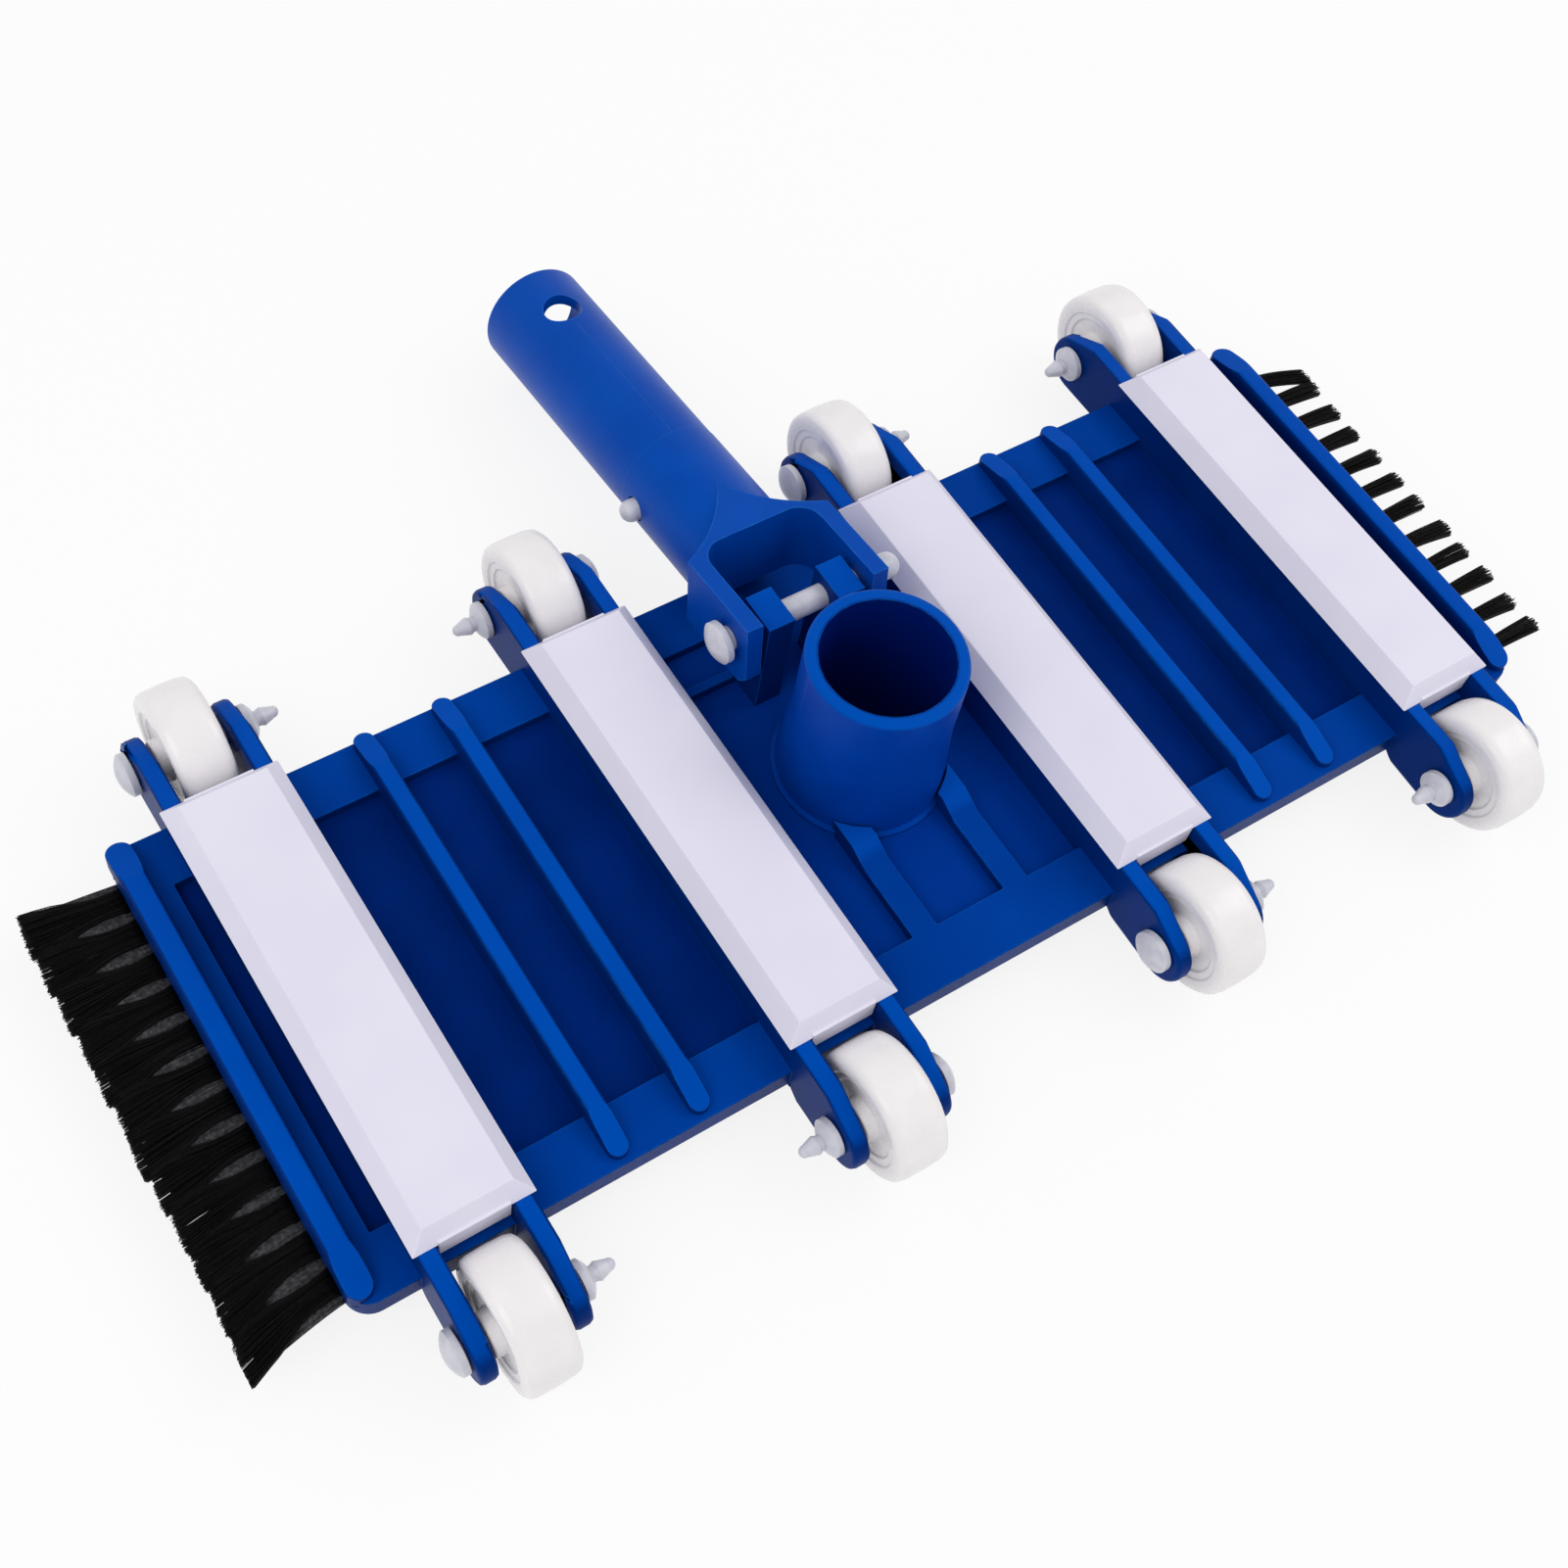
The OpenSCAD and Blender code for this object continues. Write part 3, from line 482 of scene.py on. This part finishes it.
def brush(node, end, places, widths, per_tuft, seed, leans, black, layer="", drop=0.0, trim=0.0, thick=1.3 * MM,
          hair=0.16 * MM, ragged=0.0):
    """Twelve tufts in a row. A filament leaves its round root across the tuft by a; at t along its length it lies at
    a / 2 times the tuft's width there, which runs straight between the widths at the places. It leans by
    lean * t ** 1.5 and sags by 2 t (1 - t) mm. More filaments lie at a tuft's sides, which keeps its outline
    crisp. A further layer lies lower by drop and ends short by trim; only the first stands for the node."""
    rng = np.random.default_rng(seed)
    low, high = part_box(node)
    tufts, steps = 12, 8
    pitch, wall = 9.2 * MM, 165 * MM
    root_z, tip_z = high.z - 1.5 * MM - drop, low.z + 1.6 * MM
    reach = (high.x if end > 0 else -low.x) - trim
    n = tufts * per_tuft
    tuft = np.repeat(np.arange(tufts), per_tuft)
    across = np.sin(rng.uniform(-np.pi / 2, np.pi / 2, n))
    up = rng.uniform(-1, 1, n) * np.sqrt(1 - 0.7 * across ** 2)
    uneven = rng.uniform(-1.3, 0.3, tufts)[tuft] + rng.normal(0, 0.25, n)
    longer = (uneven - 0.5 * np.abs(across) ** 3 + ragged * across) * MM
    lean = (np.asarray(leans) + rng.normal(0, 0.25, tufts))[tuft] * MM + rng.normal(0, 0.15, n) * MM
    t = np.linspace(0, 1, steps)[None, :]
    start, stop = wall - 1.5 * MM, np.minimum(reach - 0.3 * MM + longer, reach)
    width = np.interp(t, places, np.asarray(widths)) * MM
    y = ((tuft - (tufts - 1) / 2) * pitch)[:, None] + across[:, None] * width / 2 + lean[:, None] * t ** 1.5
    x = start + (stop - start)[:, None] * t
    z = root_z + (tip_z - root_z) * t + (up * thick)[:, None] + 2.0 * MM * t * (1 - t)
    bend = rng.normal(0, 0.12, n)[:, None] * MM * np.sin(np.pi * t)
    points, quads, triangles = filaments(np.stack([x, y + bend, z], axis=-1), rng.uniform(0.85, 1.15, n) * hair)
    if end < 0:
        points[:, 0] *= -1
        quads, triangles = quads[:, ::-1], triangles[:, ::-1]
    points[:, 2] = np.maximum(points[:, 2], low.z + 0.1 * MM)
    piece = surface(node + "_filaments" + layer, points, quads, triangles, black, "deck")
    if not layer:
        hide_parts(node)
    return piece


new_black = bristle_black("bristle_new", (0.0015, 0.0015, 0.0015, 1), (0.008, 0.007, 0.006, 1))
worn_black = bristle_black("bristle_worn", (0.0012, 0.0012, 0.0014, 1), (0.005, 0.005, 0.006, 1))
# Painted shade: grey filaments stand for the shade seen through the gaps between the left tufts.
gap_shade_grey = bristle_black("bristle_inner", (0.03, 0.03, 0.034, 1), (0.11, 0.11, 0.118, 1), 179 * MM)
LEFT_LEANS = [-5.0, -2.8, -2.0, -1.7, -1.5, -1.3, -1.2, -1.0, -0.7, -0.3, 0.6, 2.2]
RIGHT_LEANS = [0.6, 0.2, 0.4, 0.3, -0.2, 0.4, -0.3, 0.2, 0.3, -0.4, -0.6, -4.6]
INNER_LEANS = [-3.4] + LEFT_LEANS[1:-1] + [1.2]
WORN_PLACES = [0, 0.1, 0.25, 0.4, 0.55, 0.75, 1]
WORN_WIDTHS = [6.6, 5.8, 5.3, 5.9, 7.8, 10.2, 11.2]
brush("bristles_left", -1, WORN_PLACES, WORN_WIDTHS, 320, 3, LEFT_LEANS, worn_black, ragged=-0.6)
# Painted shade: a lower layer of grey filaments fills the gaps between the left tufts.
brush("bristles_left", -1, [0, 1], [9.3, 10.0], 230, 5, INNER_LEANS, gap_shade_grey, layer="_inner",
      drop=1.2 * MM, trim=2 * MM, thick=0.5 * MM, hair=0.22 * MM)
brush("bristles_right", 1, [0, 1], [3.0, 4.6], 150, 4, RIGHT_LEANS, new_black)

# ---------------------------------------------------------------- camera
# The camera looks down from the left front, turned a little about its own axis.
camera = bpy.data.objects.new("camera", bpy.data.cameras.new("camera"))
bpy.context.scene.collection.objects.link(camera)
bpy.context.scene.camera = camera
camera.data.lens = 49.39
camera.data.sensor_width = 36
camera.data.clip_start = 0.01
camera.location = (-0.2078, -0.1896, 0.4376)
aim = Vector((-0.01921, 0.00352, 0))
roll = math.radians(13.285)
facing = (aim - camera.location).to_track_quat("-Z", "Y").to_matrix()
camera.rotation_euler = (facing @ Matrix.Rotation(roll, 3, "Z")).to_euler()

# ---------------------------------------------------------------- studio
# A plain pale floor, a white surround and soft lamps from above.
floor_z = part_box("wheel_front_1")[0].z
half = 3.0
floor_mesh = bpy.data.meshes.new("floor")
floor_corners = [(x * half, y * half, floor_z) for x, y in ((-1, -1), (1, -1), (1, 1), (-1, 1))]
floor_mesh.from_pydata(floor_corners, [], [(0, 1, 2, 3)])
floor = bpy.data.objects.new("floor", floor_mesh)
bpy.context.scene.collection.objects.link(floor)
paper, tree, shader, place = new_material("floor_paper")
shader.inputs["Base Color"].default_value = (0.9, 0.9, 0.9, 1)
shader.inputs["Roughness"].default_value = 0.8
light_path = tree.nodes.new("ShaderNodeLightPath")
glow = add_node(tree, "ShaderNodeEmission", Color=(1, 1, 1, 1), Strength=1.0)
either = worked_out(tree, "MAXIMUM", light_path.outputs["Is Camera Ray"], light_path.outputs["Is Glossy Ray"])
share = between(tree, either, 0.0, 1.0, 0.0, 0.84)
both = add_node(tree, "ShaderNodeMixShader", Fac=share, _1=shader.outputs["BSDF"], _2=glow.outputs["Emission"])
tree.links.new(both.outputs["Shader"], tree.nodes["Material Output"].inputs["Surface"])
floor_mesh.materials.append(paper)

world = bpy.data.worlds.new("studio")
bpy.context.scene.world = world
world.use_nodes = True
sky = world.node_tree.nodes["Background"]
sky.inputs["Color"].default_value = (1, 1, 1, 1)
seen = world.node_tree.nodes.new("ShaderNodeLightPath").outputs["Is Camera Ray"]
strength = add_node(world.node_tree, "ShaderNodeMapRange", Value=seen, To_Min=0.72, To_Max=1.0)
world.node_tree.links.new(strength.outputs["Result"], sky.inputs["Strength"])


def soft_lamp(name, place, aim, size, watts):
    """A square lamp of the given size, facing aim."""
    lamp = bpy.data.objects.new(name, bpy.data.lights.new(name, "AREA"))
    bpy.context.scene.collection.objects.link(lamp)
    lamp.location = place
    lamp.rotation_euler = (Vector(aim) - Vector(place)).to_track_quat("-Z", "Y").to_euler()
    lamp.data.size = size
    lamp.data.energy = watts
    return lamp


soft_lamp("left_lamp", (-0.8, -0.2, 0.9), (0, 0, 0), 0.7, 3.0)
soft_lamp("right_lamp", (0.8, -0.2, 0.9), (0, 0, 0), 0.7, 3.0)
bpy.context.scene.view_settings.view_transform = "Standard"
